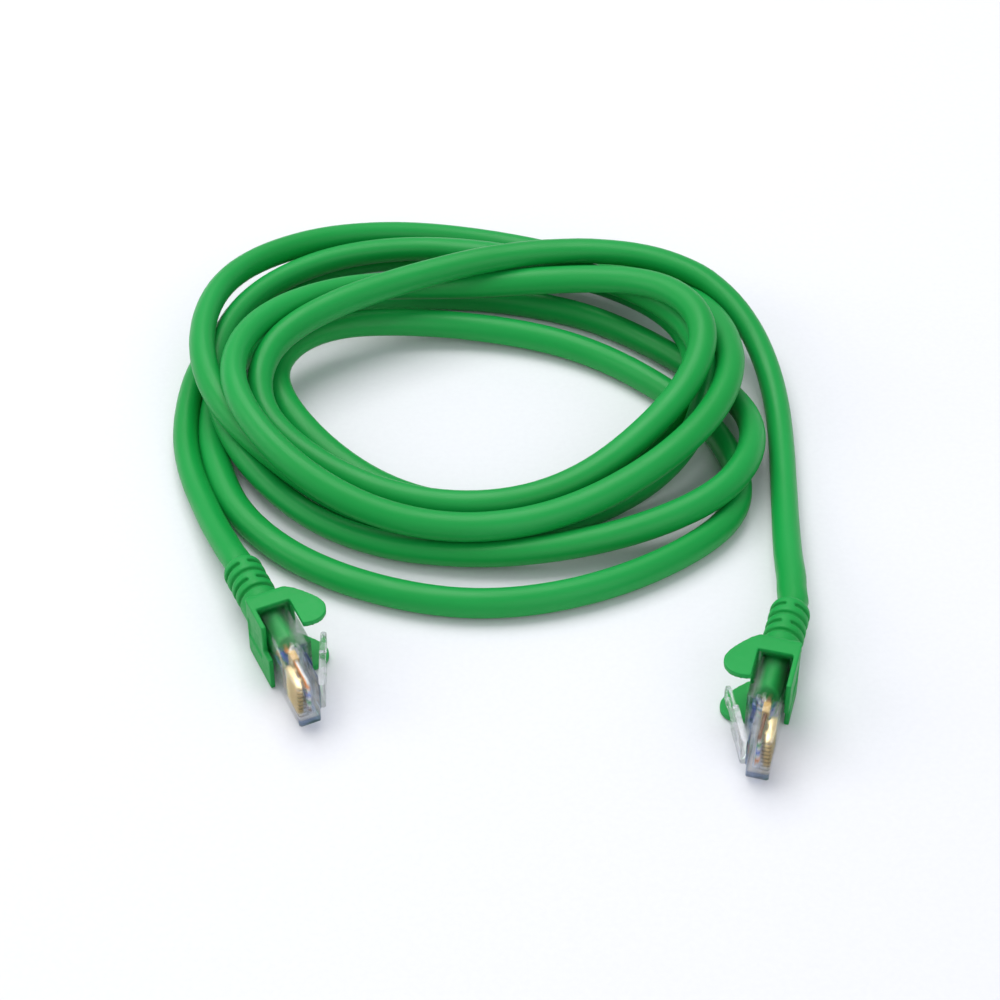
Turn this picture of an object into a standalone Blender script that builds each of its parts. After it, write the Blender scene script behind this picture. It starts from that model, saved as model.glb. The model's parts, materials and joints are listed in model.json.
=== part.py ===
"""Patch cable: two modular plugs with moulded boots, joined by a loosely coiled cord.

Units are metres, +Z is up, and the floor is Z = 0.  Each plug has a frame of its own:
X runs out of the nose, Y goes from the contact side to the latch side, and Z lies across
the plug's width.  Both plugs rest on a narrow side, so their Z is upright.
"""
import math

import bmesh
import bpy
from mathutils import Euler, Matrix, Vector

MM = 0.001

# Plug housing
PLUG_LENGTH = 21.46 * MM
PLUG_WIDTH = 11.68 * MM
BODY_THICKNESS = 6.60 * MM
NOSE_THICKNESS = 4.40 * MM
STEP_START = 8.50 * MM
STEP_END = 9.50 * MM
CAVITY_DEPTH = 11.40 * MM
CAVITY_HALF_WIDTH = 5.00 * MM
CAVITY_WALL = 0.65 * MM
CHANNEL_LOW = 1.95 * MM
CHANNEL_HIGH = 3.40 * MM
CHANNEL_HALF_WIDTH = 4.55 * MM
NOSE_WALL = 1.20 * MM

# Contacts and wires
PIN_COUNT = 8
PIN_PITCH = 1.016 * MM
SLOT_WIDTH = 0.56 * MM
SLOT_LENGTH = 7.20 * MM
SLOT_DEPTH = 2.00 * MM
BLADE_THICKNESS = 0.30 * MM
WIRE_RADIUS = 0.40 * MM
WIRE_ROW_Y = 2.65 * MM
WIRE_FRONT = 1.50 * MM
WIRE_BACK = 13.50 * MM
WIRE_BUNDLE_RADIUS = 1.50 * MM
ROW_START = 10.30 * MM
FAN_START = 13.20 * MM

# Load bar
BAR_FRONT = 7.40 * MM
BAR_BACK = 9.90 * MM
BAR_CLEARANCE = 0.05 * MM
BAR_HOLE_RADIUS = 0.46 * MM

# Latch
HINGE_X = -1.00 * MM
HINGE_Y = 5.20 * MM
LATCH_ANGLE = math.radians(23.0)
LATCH_LENGTH = 15.00 * MM
LATCH_THICKNESS = 1.20 * MM
LATCH_ROOT_WIDTH = 6.20 * MM
LATCH_TIP_WIDTH = 3.25 * MM
LATCH_SHOULDER = 8.60 * MM

# Boot
BOOT_HALF_WIDTH = 6.84 * MM
BOOT_WALL = 1.10 * MM
BOOT_CLEARANCE = 0.10 * MM
BLOCK_FRONT = 20.90 * MM
BLOCK_BACK = 25.80 * MM
CONTACT_WALL_FRONT = 12.60 * MM
EAR_THICKNESS = 1.24 * MM
EAR_ROOT_Y = 6.75 * MM
NECK_RADIUS = 3.90 * MM
NECK_END = 39.50 * MM
NECK_BORE_RADIUS = 3.00 * MM
NECK_START = 25.30 * MM
GROOVE_WIDTH = 0.90 * MM
GROOVE_DEPTH = 0.60 * MM
GROOVES = (37.2, 34.8, 32.4, 30.0)
BRIDGED_GROOVES = (37.2, 32.4)
BRIDGE_ANGLE = math.radians(41.0)
RING_TURN = math.radians(5.0)
EAR_OUTLINE = ((24.0, 8.3), (22.2, 9.8), (20.2, 11.2), (18.6, 12.1), (17.0, 12.5),
               (15.6, 12.2), (14.5, 11.5), (13.7, 10.2), (13.4, 8.6), (13.7, 6.75))

# Cord
CORD_RADIUS = 2.90 * MM
JACKET_END = 13.90 * MM
JACKET_END_SCALE = 0.84
CORD_AXIS_Y = 3.30 * MM

# Places of the plugs: the contact side's middle at the nose face, and the turn about Z
PLUG_A_PLACE = (-40.6 * MM, -12.8 * MM, BOOT_HALF_WIDTH)
PLUG_A_TURN = (0.0, 0.0, math.radians(-65.1))
PLUG_B_PLACE = (46.9 * MM, -26.1 * MM, BOOT_HALF_WIDTH)
PLUG_B_TURN = (math.pi, 0.0, math.radians(-105.1))

# Route of the cord's middle, in millimetres, from plug A to plug B.  In the coil each
# pair is the distance from the coil's centre and the height, at every 20 degrees,
# clockwise from above, starting 210 degrees round from +X.
COIL_CENTRE = (-6.8, 77.8)
COIL_FIRST_BEARING = 210
COIL_STEP = 20
TAIL_A_ROUTE = ((-58.0, 32.2, 5.0),)
COIL_ROUTE = (
    (65.0, 3.5), (63.0, 3.0), (63.0, 3.0), (62.0, 3.5), (59.5, 4.5), (54.5, 4.5), (50.5, 4.0),
    (48.5, 5.0), (49.0, 6.0), (49.0, 7.5), (47.0, 8.0), (42.0, 7.0), (37.0, 5.5), (34.0, 4.0),
    (32.5, 3.0), (32.0, 3.0), (32.0, 3.0), (32.5, 3.0), (34.5, 3.5), (39.0, 4.5), (46.0, 7.0),
    (41.5, 8.0), (33.0, 6.0), (28.5, 4.5), (26.0, 4.0), (26.0, 3.5), (28.0, 3.5), (32.0, 3.0),
    (39.0, 3.0), (51.0, 3.0), (61.5, 3.0), (60.5, 3.0), (59.5, 3.0), (59.5, 3.0), (59.0, 3.0),
    (59.5, 3.0), (59.5, 3.0), (58.0, 3.0), (56.5, 3.5), (53.0, 5.0), (46.0, 4.5), (40.5, 3.5),
    (38.0, 3.0), (37.5, 3.0), (39.5, 3.0), (43.0, 3.0), (50.5, 3.5), (58.0, 7.0), (59.5, 8.0),
    (53.0, 6.5), (48.0, 5.0), (46.0, 4.0), (46.5, 3.5), (48.5, 3.5), (51.0, 4.5), (55.0, 7.0),
    (58.0, 9.5), (58.5, 10.0), (55.5, 10.0), (51.0, 9.5), (47.0, 9.0), (45.0, 9.5), (44.5, 11.0),
    (46.0, 12.5), (47.5, 13.5), (47.5, 10.0), (45.0, 6.5), (41.5, 4.0), (39.5, 3.0), (39.5, 3.0),
    (41.0, 4.0), (43.5, 6.0), (47.5, 9.0), (55.5, 13.0), (61.0, 14.5), (64.5, 13.5), (62.5, 11.0),
    (59.5, 7.5), (57.0, 4.5), (55.0, 4.0), (54.5, 6.0), (54.5, 10.5), (53.5, 14.0), (51.5, 14.5),
    (47.5, 13.5), (44.5, 11.5), (43.5, 9.5), (44.0, 9.0), (45.5, 10.0), (47.5, 12.5),
    (50.0, 15.5), (52.5, 17.5), (50.5, 17.0), (44.5, 15.0), (39.5, 12.5), (35.5, 10.0),
    (34.0, 10.0), (35.0, 12.0), (38.5, 15.0), (45.0, 18.5), (48.0, 19.5), (44.0, 16.5),
    (39.0, 13.5), (37.0, 10.5), (36.0, 8.5), (35.5, 7.0), (36.0, 6.5), (37.5, 6.5), (41.5, 8.0),
    (47.0, 10.5), (45.5, 14.5), (38.0, 15.5), (34.0, 15.5), (33.0, 15.5), (35.5, 15.5),
    (41.0, 15.5), (50.5, 15.0),
)
TAIL_B_ROUTE = (
    (35.4, 113.8, 14.0), (42.9, 109.8, 12.7), (48.5, 103.9, 10.6), (52.8, 96.3, 8.1),
    (55.3, 87.6, 5.5), (56.6, 78.6, 4.0), (56.8, 69.3, 3.1), (56.5, 59.6, 3.0), (56.0, 49.7, 3.0),
    (55.5, 39.6, 3.6), (54.8, 29.8, 5.0),
)
# The route's first points after the coil still lie over its turns, inside the coil's solid
COIL_EXIT_POINTS = 4
COIL_SUBSTEPS = 2
COIL_FLAT_SIDE = 59.0 * MM

# Finishes: colour, roughness, metallic value, and how clear the plastic is
FINISHES = {
    "green_pvc": ((0.045, 0.42, 0.09), 0.42, 0.0, 0.0),
    "green_boot": ((0.045, 0.42, 0.09), 0.5, 0.0, 0.0),
    "clear_polycarbonate": ((0.9, 0.93, 0.95), 0.08, 0.0, 0.9),
    "gold_contact": ((0.9, 0.66, 0.25), 0.25, 1.0, 0.0),
    "wire_white": ((0.85, 0.84, 0.8), 0.4, 0.0, 0.0),
    "wire_orange": ((0.85, 0.3, 0.04), 0.4, 0.0, 0.0),
    "wire_green": ((0.05, 0.4, 0.12), 0.4, 0.0, 0.0),
    "wire_blue": ((0.05, 0.16, 0.6), 0.4, 0.0, 0.0),
    "wire_brown": ((0.25, 0.12, 0.05), 0.4, 0.0, 0.0),
}
WIRE_FINISHES = ("wire_white", "wire_orange", "wire_white", "wire_blue",
                 "wire_white", "wire_green", "wire_white", "wire_brown")


def clear_scene():
    """Remove every object of the open file."""
    for old in list(bpy.data.objects):
        bpy.data.objects.remove(old, do_unlink=True)


def finish(name):
    """Return the material of that name, made on its first use."""
    material = bpy.data.materials.get(name)
    if material is None:
        colour, roughness, metallic, clear = FINISHES[name]
        material = bpy.data.materials.new(name)
        material.use_nodes = True
        shader = material.node_tree.nodes["Principled BSDF"]
        shader.inputs["Base Color"].default_value = (*colour, 1.0)
        shader.inputs["Roughness"].default_value = roughness
        shader.inputs["Metallic"].default_value = metallic
        shader.inputs["Transmission Weight"].default_value = clear
        material.diffuse_color = (*colour, 1.0)
    return material


def object_from(shape, name, finish_name=None, parent=None):
    """Turn a bmesh into a named object, with its faces pointing out."""
    bmesh.ops.recalc_face_normals(shape, faces=shape.faces)
    mesh = bpy.data.meshes.new(name)
    shape.to_mesh(mesh)
    shape.free()
    piece = bpy.data.objects.new(name, mesh)
    bpy.context.collection.objects.link(piece)
    piece.parent = parent
    if finish_name:
        mesh.materials.append(finish(finish_name))
    return piece


def prism(outline, low_z, high_z):
    """Extrude an (x, y) outline from low_z to high_z."""
    shape = bmesh.new()
    base = shape.faces.new([shape.verts.new((x, y, low_z)) for x, y in outline])
    sides = bmesh.ops.extrude_face_region(shape, geom=[base])
    moved = [item for item in sides["geom"] if isinstance(item, bmesh.types.BMVert)]
    bmesh.ops.translate(shape, verts=moved, vec=(0.0, 0.0, high_z - low_z))
    return shape


def block(low, high):
    """Make a box between two corners."""
    low = Vector(low)
    high = Vector(high)
    shape = bmesh.new()
    size = high - low
    place = Matrix.Translation((low + high) / 2) @ Matrix.Diagonal((*size, 1.0))
    bmesh.ops.create_cube(shape, size=1.0, matrix=place)
    return shape


def rod(start_x, end_x, radius, axis_y, axis_z=0.0, segments=16):
    """Make a cylinder along X between start_x and end_x."""
    shape = bmesh.new()
    middle = Vector(((start_x + end_x) / 2, axis_y, axis_z))
    place = Matrix.Translation(middle) @ Matrix.Rotation(math.pi / 2, 4, "Y")
    bmesh.ops.create_cone(shape, cap_ends=True, segments=segments, radius1=radius,
                          radius2=radius, depth=abs(end_x - start_x), matrix=place)
    return shape


def ring_sector(middle_x, inner, outer, first_angle, sweep, segments):
    """Spin a groove's rectangle about the cord's axis, through all or part of a turn."""
    half = GROOVE_WIDTH / 2
    shape = bmesh.new()
    corners = ((middle_x - half, inner), (middle_x + half, inner),
               (middle_x + half, outer), (middle_x - half, outer))
    face = shape.faces.new([shape.verts.new((x, CORD_AXIS_Y, r)) for x, r in corners])
    centre = (0.0, CORD_AXIS_Y, 0.0)
    turn = Matrix.Rotation(first_angle, 4, "X")
    bmesh.ops.rotate(shape, verts=shape.verts, cent=centre, matrix=turn)
    full = sweep > 6.28
    parts = [face] if not full else list(face.edges)
    bmesh.ops.spin(shape, geom=parts, cent=centre, axis=(1.0, 0.0, 0.0), angle=sweep,
                   steps=segments, use_merge=full)
    if full:
        bmesh.ops.delete(shape, geom=[face], context="FACES_ONLY")
    return shape


def combine(piece, shape, name, operation):
    """Join a helper shape to a piece, or cut it out, and keep the helper hidden."""
    helper = object_from(shape, name, parent=piece.parent)
    helper.hide_render = True
    helper.display_type = "WIRE"
    step = piece.modifiers.new(name, "BOOLEAN")
    step.operation = operation
    step.solver = "EXACT"
    step.object = helper


def smooth_path(points, spacing):
    """Read evenly spaced points from a Catmull-Rom curve through the given points."""
    dense = []
    padded = [points[0] * 2 - points[1], *points, points[-1] * 2 - points[-2]]
    for before, start, end, after in zip(padded, padded[1:], padded[2:], padded[3:]):
        count = max(2, round((end - start).length / spacing))
        for index in range(count):
            t = index / count
            dense.append(0.5 * ((2 * start) + (end - before) * t
                                + (2 * before - 5 * start + 4 * end - after) * t ** 2
                                + (3 * start - before - 3 * end + after) * t ** 3))
    dense.append(points[-1])
    return dense


def tube(name, path, radius, finish_name, scales=None, resolution=2):
    """Make a capped round tube along a path, as a poly curve with a bevel."""
    curve = bpy.data.curves.new(name, "CURVE")
    curve.dimensions = "3D"
    curve.bevel_depth = radius
    curve.bevel_resolution = resolution
    curve.use_fill_caps = True
    spline = curve.splines.new("POLY")
    spline.points.add(len(path) - 1)
    for index, place in enumerate(path):
        spline.points[index].co = (*place, 1.0)
        spline.points[index].radius = scales[index] if scales else 1.0
    curve.materials.append(finish(finish_name))
    piece = bpy.data.objects.new(name, curve)
    bpy.context.collection.objects.link(piece)
    return piece


def pin_z(index):
    """Return the place across the plug of contact or wire number index, from 0."""
    return ((PIN_COUNT - 1) / 2 - index) * PIN_PITCH


def build_housing(side, frame):
    """Model the clear housing: nose, body, rear cavity, wire channel and contact slots."""
    half = PLUG_WIDTH / 2
    outline = ((0.0, 0.0), (0.0, NOSE_THICKNESS), (-STEP_START, NOSE_THICKNESS),
               (-STEP_END, BODY_THICKNESS), (-PLUG_LENGTH, BODY_THICKNESS), (-PLUG_LENGTH, 0.0))
    housing = object_from(prism(outline, -half, half), f"plug_{side}_housing",
                          "clear_polycarbonate", frame)
    cavity = block((-PLUG_LENGTH - MM, CAVITY_WALL, -CAVITY_HALF_WIDTH),
                   (-PLUG_LENGTH + CAVITY_DEPTH, BODY_THICKNESS - CAVITY_WALL, CAVITY_HALF_WIDTH))
    combine(housing, cavity, f"cut_{side}_cavity", "DIFFERENCE")
    channel = block((-PLUG_LENGTH + CAVITY_DEPTH - MM, CHANNEL_LOW, -CHANNEL_HALF_WIDTH),
                    (-NOSE_WALL, CHANNEL_HIGH, CHANNEL_HALF_WIDTH))
    combine(housing, channel, f"cut_{side}_channel", "DIFFERENCE")
    for index in range(PIN_COUNT):
        z = pin_z(index)
        slot = block((-SLOT_LENGTH, -MM, z - SLOT_WIDTH / 2), (MM, SLOT_DEPTH, z + SLOT_WIDTH / 2))
        combine(housing, slot, f"cut_{side}_slot_{index + 1}", "DIFFERENCE")


def build_load_bar(side, frame):
    """Model the bar that holds the eight wires in a row."""
    bar = object_from(block((-BAR_BACK, CHANNEL_LOW + BAR_CLEARANCE, -CHANNEL_HALF_WIDTH + BAR_CLEARANCE),
                            (-BAR_FRONT, CHANNEL_HIGH - BAR_CLEARANCE, CHANNEL_HALF_WIDTH - BAR_CLEARANCE)),
                      f"plug_{side}_load_bar", "clear_polycarbonate", frame)
    for index in range(PIN_COUNT):
        hole = rod(-BAR_BACK - MM, -BAR_FRONT + MM, BAR_HOLE_RADIUS, WIRE_ROW_Y, pin_z(index), 8)
        combine(bar, hole, f"cut_{side}_bar_hole_{index + 1}", "DIFFERENCE")


def build_contacts(side, frame):
    """Model the eight gold blades, with a rounded nose corner and two piercing teeth."""
    outline = ((-1.35, 0.75), (-1.50, 0.45), (-1.80, 0.30), (-6.90, 0.30), (-6.90, 1.45),
               (-6.00, 1.45), (-5.60, 2.12), (-5.20, 1.45), (-3.40, 1.45), (-3.00, 2.12),
               (-2.60, 1.45), (-1.35, 1.45))
    metres = [(x * MM, y * MM) for x, y in outline]
    for index in range(PIN_COUNT):
        blade = prism(metres, -BLADE_THICKNESS / 2, BLADE_THICKNESS / 2)
        contact = object_from(blade, f"plug_{side}_contact_{index + 1}", "gold_contact", frame)
        contact.location = (0.0, 0.0, pin_z(index))


def wire_path(index, place):
    """Lead one wire from the jacket's end to its place in the row."""
    angle = math.radians((22.5, 67.5, 112.5, 157.5)[index // 2])
    side = 1.0 if index % 2 == 0 else -1.0
    bundle_y = CORD_AXIS_Y + side * WIRE_BUNDLE_RADIUS * math.sin(angle)
    bundle_z = WIRE_BUNDLE_RADIUS * math.cos(angle)
    points = [Vector((-WIRE_BACK, bundle_y, bundle_z))]
    steps = 6
    for step in range(steps + 1):
        t = step / steps
        spread = min(1.0, 1.5 * t)
        flatten = max(0.0, 1.5 * t - 0.5)
        spread = spread * spread * (3 - 2 * spread)
        flatten = flatten * flatten * (3 - 2 * flatten)
        points.append(Vector((-FAN_START + (FAN_START - ROW_START) * t,
                              bundle_y + (WIRE_ROW_Y - bundle_y) * flatten,
                              bundle_z + (pin_z(index) - bundle_z) * spread)))
    points.append(Vector((-WIRE_FRONT, WIRE_ROW_Y, pin_z(index))))
    return [place @ point for point in points]


def build_wires(side, place):
    """Model the eight insulated wires inside a plug."""
    for index in range(PIN_COUNT):
        tube(f"plug_{side}_wire_{index + 1}", wire_path(index, place), WIRE_RADIUS,
             WIRE_FINISHES[index], resolution=1)


def build_latch(side, frame):
    """Model the latch lever, with its origin on the line that it flexes about."""
    along = Vector((-math.cos(LATCH_ANGLE), math.sin(LATCH_ANGLE)))
    out = Vector((math.sin(LATCH_ANGLE), math.cos(LATCH_ANGLE)))
    half = LATCH_THICKNESS / 2
    outline = [along * LATCH_LENGTH + out * half * 0.5, along * (LATCH_LENGTH - half) + out * half]
    for step in range(7):
        angle = math.pi * step / 6
        outline.append(out * half * math.cos(angle) - along * half * math.sin(angle))
    outline.append(along * (LATCH_LENGTH - half) - out * half)
    outline.append(along * LATCH_LENGTH - out * half * 0.5)
    latch = object_from(prism(outline, -LATCH_ROOT_WIDTH / 2, LATCH_ROOT_WIDTH / 2),
                        f"plug_{side}_latch", "clear_polycarbonate", frame)
    latch.location = (HINGE_X, HINGE_Y, 0.0)
    for sign in (-1, 1):
        near = sign * LATCH_TIP_WIDTH / 2
        far = sign * LATCH_ROOT_WIDTH
        cut = block((-LATCH_LENGTH - MM, -2 * MM, min(near, far)),
                    (-LATCH_SHOULDER, 2 * LATCH_LENGTH, max(near, far)))
        bmesh.ops.translate(cut, verts=cut.verts, vec=(HINGE_X, HINGE_Y, 0.0))
        combine(latch, cut, f"cut_{side}_latch_{'low' if sign < 0 else 'high'}", "DIFFERENCE")


def build_boot(side, frame):
    """Model the moulded boot: rear block, contact side wall, two ears and ribbed neck."""
    low_y = -BOOT_WALL
    high_y = BODY_THICKNESS + BOOT_WALL
    wide = BOOT_HALF_WIDTH
    profile = [(-BLOCK_BACK, high_y), (-BLOCK_BACK, low_y), (-CONTACT_WALL_FRONT, low_y),
               (-CONTACT_WALL_FRONT, -BOOT_CLEARANCE), (-BLOCK_FRONT, -BOOT_CLEARANCE),
               (-BLOCK_FRONT, EAR_ROOT_Y)]
    profile += [(-x * MM, y * MM) for x, y in reversed(EAR_OUTLINE)]
    boot = object_from(prism(profile, -wide, wide), f"plug_{side}_boot", "green_boot", frame)
    between = wide - EAR_THICKNESS
    step_x = -BLOCK_FRONT - 0.2 * MM
    gap = [(-BLOCK_BACK - MM, high_y), (step_x, high_y), (step_x, high_y - 3 * MM),
           (-MM, high_y - 3 * MM), (-MM, 3 * high_y), (-BLOCK_BACK - MM, 3 * high_y)]
    combine(boot, prism(gap, -between, between), f"cut_{side}_ear_gap", "DIFFERENCE")
    half = PLUG_WIDTH / 2 + BOOT_CLEARANCE
    pocket = block((-PLUG_LENGTH - BOOT_CLEARANCE, 0.0, -half),
                   (-CONTACT_WALL_FRONT + MM, BODY_THICKNESS + BOOT_CLEARANCE, half))
    combine(boot, pocket, f"cut_{side}_pocket", "DIFFERENCE")
    combine(boot, rod(-NECK_END, -NECK_START, NECK_RADIUS, CORD_AXIS_Y, segments=20),
            f"add_{side}_neck", "UNION")
    bore = rod(-NECK_END - MM, -PLUG_LENGTH + MM, NECK_BORE_RADIUS, CORD_AXIS_Y, segments=20)
    combine(boot, bore, f"cut_{side}_bore", "DIFFERENCE")
    inner = NECK_RADIUS - GROOVE_DEPTH
    outer = NECK_RADIUS + MM
    for row, groove in enumerate(GROOVES):
        if groove in BRIDGED_GROOVES:
            for half_turn in (0.0, math.pi):
                sector = ring_sector(-groove * MM, inner, outer, half_turn + BRIDGE_ANGLE / 2,
                                     math.pi - BRIDGE_ANGLE, 8)
                name = f"cut_{side}_groove_{row + 1}_{'far' if half_turn else 'near'}"
                combine(boot, sector, name, "DIFFERENCE")
        else:
            ring = ring_sector(-groove * MM, inner, outer, RING_TURN, 2 * math.pi, 20)
            combine(boot, ring, f"cut_{side}_groove_{row + 1}", "DIFFERENCE")


def plug_tail(place):
    """Return the cord's straight run through the boot, from the jacket's end to the neck."""
    stations = (JACKET_END, 20.4 * MM, 22.4 * MM, 28.0 * MM, 34.0 * MM, NECK_END, NECK_END + 2.5 * MM)
    return [place @ Vector((-x, CORD_AXIS_Y, 0.0)) for x in stations]


def build_plug(side, location, turn):
    """Build one plug with its boot, and return its place as a matrix."""
    frame = bpy.data.objects.new(f"plug_{side}_frame", None)
    bpy.context.collection.objects.link(frame)
    frame.location = location
    frame.rotation_euler = turn
    place = Matrix.Translation(location) @ Euler(turn).to_matrix().to_4x4()
    build_housing(side, frame)
    build_load_bar(side, frame)
    build_contacts(side, frame)
    build_latch(side, frame)
    build_boot(side, frame)
    build_wires(side, place)
    return place


def build_tail(name, place, route):
    """Build the loose run of cord that leaves one plug's boot, up to the coil."""
    inside = plug_tail(place)
    outside = [Vector(point) * MM for point in route]
    path = smooth_path(inside[2:] + outside, 6.0 * MM)
    path = inside[:2] + path
    scales = [JACKET_END_SCALE, JACKET_END_SCALE] + [1.0] * (len(path) - 2)
    scales[2] = 0.9
    tube(name, path, CORD_RADIUS, "green_pvc", scales)


def coil_places():
    """Read the coil's route at every substep: bearing, distance from centre and height."""
    padded = (COIL_ROUTE[0], *COIL_ROUTE, COIL_ROUTE[-1])
    places = []
    for number in range(len(COIL_ROUTE) - 1):
        before, start, end, after = [Vector(pair) for pair in padded[number:number + 4]]
        for step in range(COIL_SUBSTEPS):
            t = step / COIL_SUBSTEPS
            pair = 0.5 * ((2 * start) + (end - before) * t
                          + (2 * before - 5 * start + 4 * end - after) * t ** 2
                          + (3 * start - before - 3 * end + after) * t ** 3)
            places.append((number * COIL_SUBSTEPS + step, pair.x * MM, pair.y * MM))
    return places


def build_coil():
    """Build the coil's outer shape: a closed ring around its turns, flat beside tail B."""
    stations = 360 // COIL_STEP * COIL_SUBSTEPS
    places = coil_places()
    shape = bmesh.new()
    rings = []
    for station in range(stations):
        here = [place for place in places if place[0] % stations == station]
        inner = min(place[1] for place in here) - CORD_RADIUS
        outer = max(place[1] for place in here) + CORD_RADIUS
        top = max(place[2] for place in here) + CORD_RADIUS
        angle = math.radians(COIL_FIRST_BEARING - station * COIL_STEP / COIL_SUBSTEPS)
        if math.cos(angle) > 0.5:
            outer = min(outer, COIL_FLAT_SIDE / math.cos(angle))
        corner = min(2.5 * MM, top / 3)
        section = ((inner, corner), (inner + corner, 0.0), (outer - corner, 0.0), (outer, corner),
                   (outer, top - corner), (outer - corner, top), (inner + corner, top),
                   (inner, top - corner))
        ring = [shape.verts.new((COIL_CENTRE[0] * MM + r * math.cos(angle),
                                 COIL_CENTRE[1] * MM + r * math.sin(angle), z)) for r, z in section]
        rings.append(ring)
    for ring, following in zip(rings, rings[1:] + rings[:1]):
        count = len(ring)
        for corner in range(count):
            after = (corner + 1) % count
            shape.faces.new((ring[corner], ring[after], following[after], following[corner]))
    object_from(shape, "cord_coil", "green_pvc")


def main():
    """Build the whole cable."""
    clear_scene()
    place_a = build_plug("a", PLUG_A_PLACE, PLUG_A_TURN)
    place_b = build_plug("b", PLUG_B_PLACE, PLUG_B_TURN)
    build_tail("cord_tail_a", place_a, TAIL_A_ROUTE)
    build_tail("cord_tail_b", place_b, tuple(reversed(TAIL_B_ROUTE[COIL_EXIT_POINTS:])))
    build_coil()


main()
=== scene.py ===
"""Ethernet patch cable: the finished look of its cord, boots, clear plugs, latches and wires.

Units are metres and +Z is up.  Each plug has a frame of its own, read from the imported
record: X runs out of the nose, Y goes from the contact side to the latch side, and Z lies
across the plug's width.  The plug's pieces are modelled in that frame and then placed, and
each keeps its plug-frame coordinates in the vertex attribute "plug_place" for its finish.
"""

import json
import logging
import math
from dataclasses import dataclass, field
from enum import Enum

import bmesh
import bpy
import numpy as np
from mathutils import Matrix, Vector


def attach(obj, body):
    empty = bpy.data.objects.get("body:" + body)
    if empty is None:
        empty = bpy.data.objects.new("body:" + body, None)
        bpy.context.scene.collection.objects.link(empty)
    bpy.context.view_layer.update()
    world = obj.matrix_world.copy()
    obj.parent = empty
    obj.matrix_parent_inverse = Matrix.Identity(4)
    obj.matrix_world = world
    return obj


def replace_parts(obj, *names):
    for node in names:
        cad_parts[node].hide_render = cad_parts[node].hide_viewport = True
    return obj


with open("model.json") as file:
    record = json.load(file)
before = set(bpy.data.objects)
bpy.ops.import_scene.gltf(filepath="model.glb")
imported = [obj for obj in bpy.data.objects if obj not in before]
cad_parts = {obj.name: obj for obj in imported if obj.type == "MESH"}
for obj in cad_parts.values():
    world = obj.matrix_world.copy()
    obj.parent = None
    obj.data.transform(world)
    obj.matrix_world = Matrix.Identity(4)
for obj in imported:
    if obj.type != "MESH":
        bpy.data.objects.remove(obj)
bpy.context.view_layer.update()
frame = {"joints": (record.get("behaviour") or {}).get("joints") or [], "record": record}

MM = 0.001
LOG = logging.getLogger("patch_cable")
Point = tuple[float, float]


class Side(Enum):
    """The cable's two plugs."""

    A = "a"
    B = "b"


class Cut(Enum):
    """How a tool shape changes the blank it is applied to."""

    REMOVE = "DIFFERENCE"
    ADD = "UNION"


# ---------------------------------------------------------------- mesh tools


def prism(outline: list[Point], low_z: float, high_z: float) -> bmesh.types.BMesh:
    """Extrude a flat outline along Z.

    Args:
        outline: the corners in X and Y, in order.
        low_z: where the extrusion starts.
        high_z: where it ends.

    Returns:
        A closed shape.
    """
    shape = bmesh.new()
    face = shape.faces.new([shape.verts.new((x, y, low_z)) for x, y in outline])
    grown = bmesh.ops.extrude_face_region(shape, geom=[face])["geom"]
    moved = [item for item in grown if isinstance(item, bmesh.types.BMVert)]
    bmesh.ops.translate(shape, verts=moved, vec=(0.0, 0.0, high_z - low_z))
    bmesh.ops.recalc_face_normals(shape, faces=shape.faces)
    return shape


def block(low: tuple[float, float, float], high: tuple[float, float, float]) -> bmesh.types.BMesh:
    """Make a box between two corners."""
    outline = [(low[0], low[1]), (high[0], low[1]), (high[0], high[1]), (low[0], high[1])]
    return prism(outline, low[2], high[2])


def turned(profile: list[Point], axis_y: float, steps: int) -> bmesh.types.BMesh:
    """Turn a closed profile about a line parallel to X, as on a lathe.

    Args:
        profile: pairs of X and distance from the line, in order round the section.
        axis_y: the line's Y.
        steps: the number of faces round the turn.

    Returns:
        A closed shape.
    """
    shape = bmesh.new()
    corners = [shape.verts.new((x, axis_y, radius)) for x, radius in profile]
    edges = [shape.edges.new(pair) for pair in zip(corners, corners[1:] + corners[:1])]
    bmesh.ops.spin(shape, geom=corners + edges, cent=(0.0, axis_y, 0.0), axis=(1.0, 0.0, 0.0),
                   angle=math.tau, steps=steps, use_merge=True)
    bmesh.ops.remove_doubles(shape, verts=shape.verts, dist=1e-6)
    bmesh.ops.recalc_face_normals(shape, faces=shape.faces)
    return shape


def bevelled(shape: bmesh.types.BMesh, edges: list[bmesh.types.BMEdge], width: float,
             segments: int) -> bmesh.types.BMesh:
    """Round the given edges of a shape and return the shape."""
    bmesh.ops.bevel(shape, geom=edges, offset=width, segments=segments, affect="EDGES",
                    profile=0.5, material=-1)
    return shape


def holder(shape: bmesh.types.BMesh, name: str) -> bpy.types.Object:
    """Put a shape into a new object of the scene, and free the shape."""
    mesh = bpy.data.meshes.new(name)
    shape.to_mesh(mesh)
    shape.free()
    piece = bpy.data.objects.new(name, mesh)
    bpy.context.scene.collection.objects.link(piece)
    return piece


def discard(piece: bpy.types.Object) -> None:
    """Remove a working object and its mesh."""
    mesh = piece.data
    bpy.data.objects.remove(piece)
    bpy.data.meshes.remove(mesh)


def taken_from(piece: bpy.types.Object) -> bmesh.types.BMesh:
    """Read a working object with its modifiers applied, and remove the object."""
    shape = bmesh.new()
    shape.from_object(piece, bpy.context.evaluated_depsgraph_get())
    discard(piece)
    return shape


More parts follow.
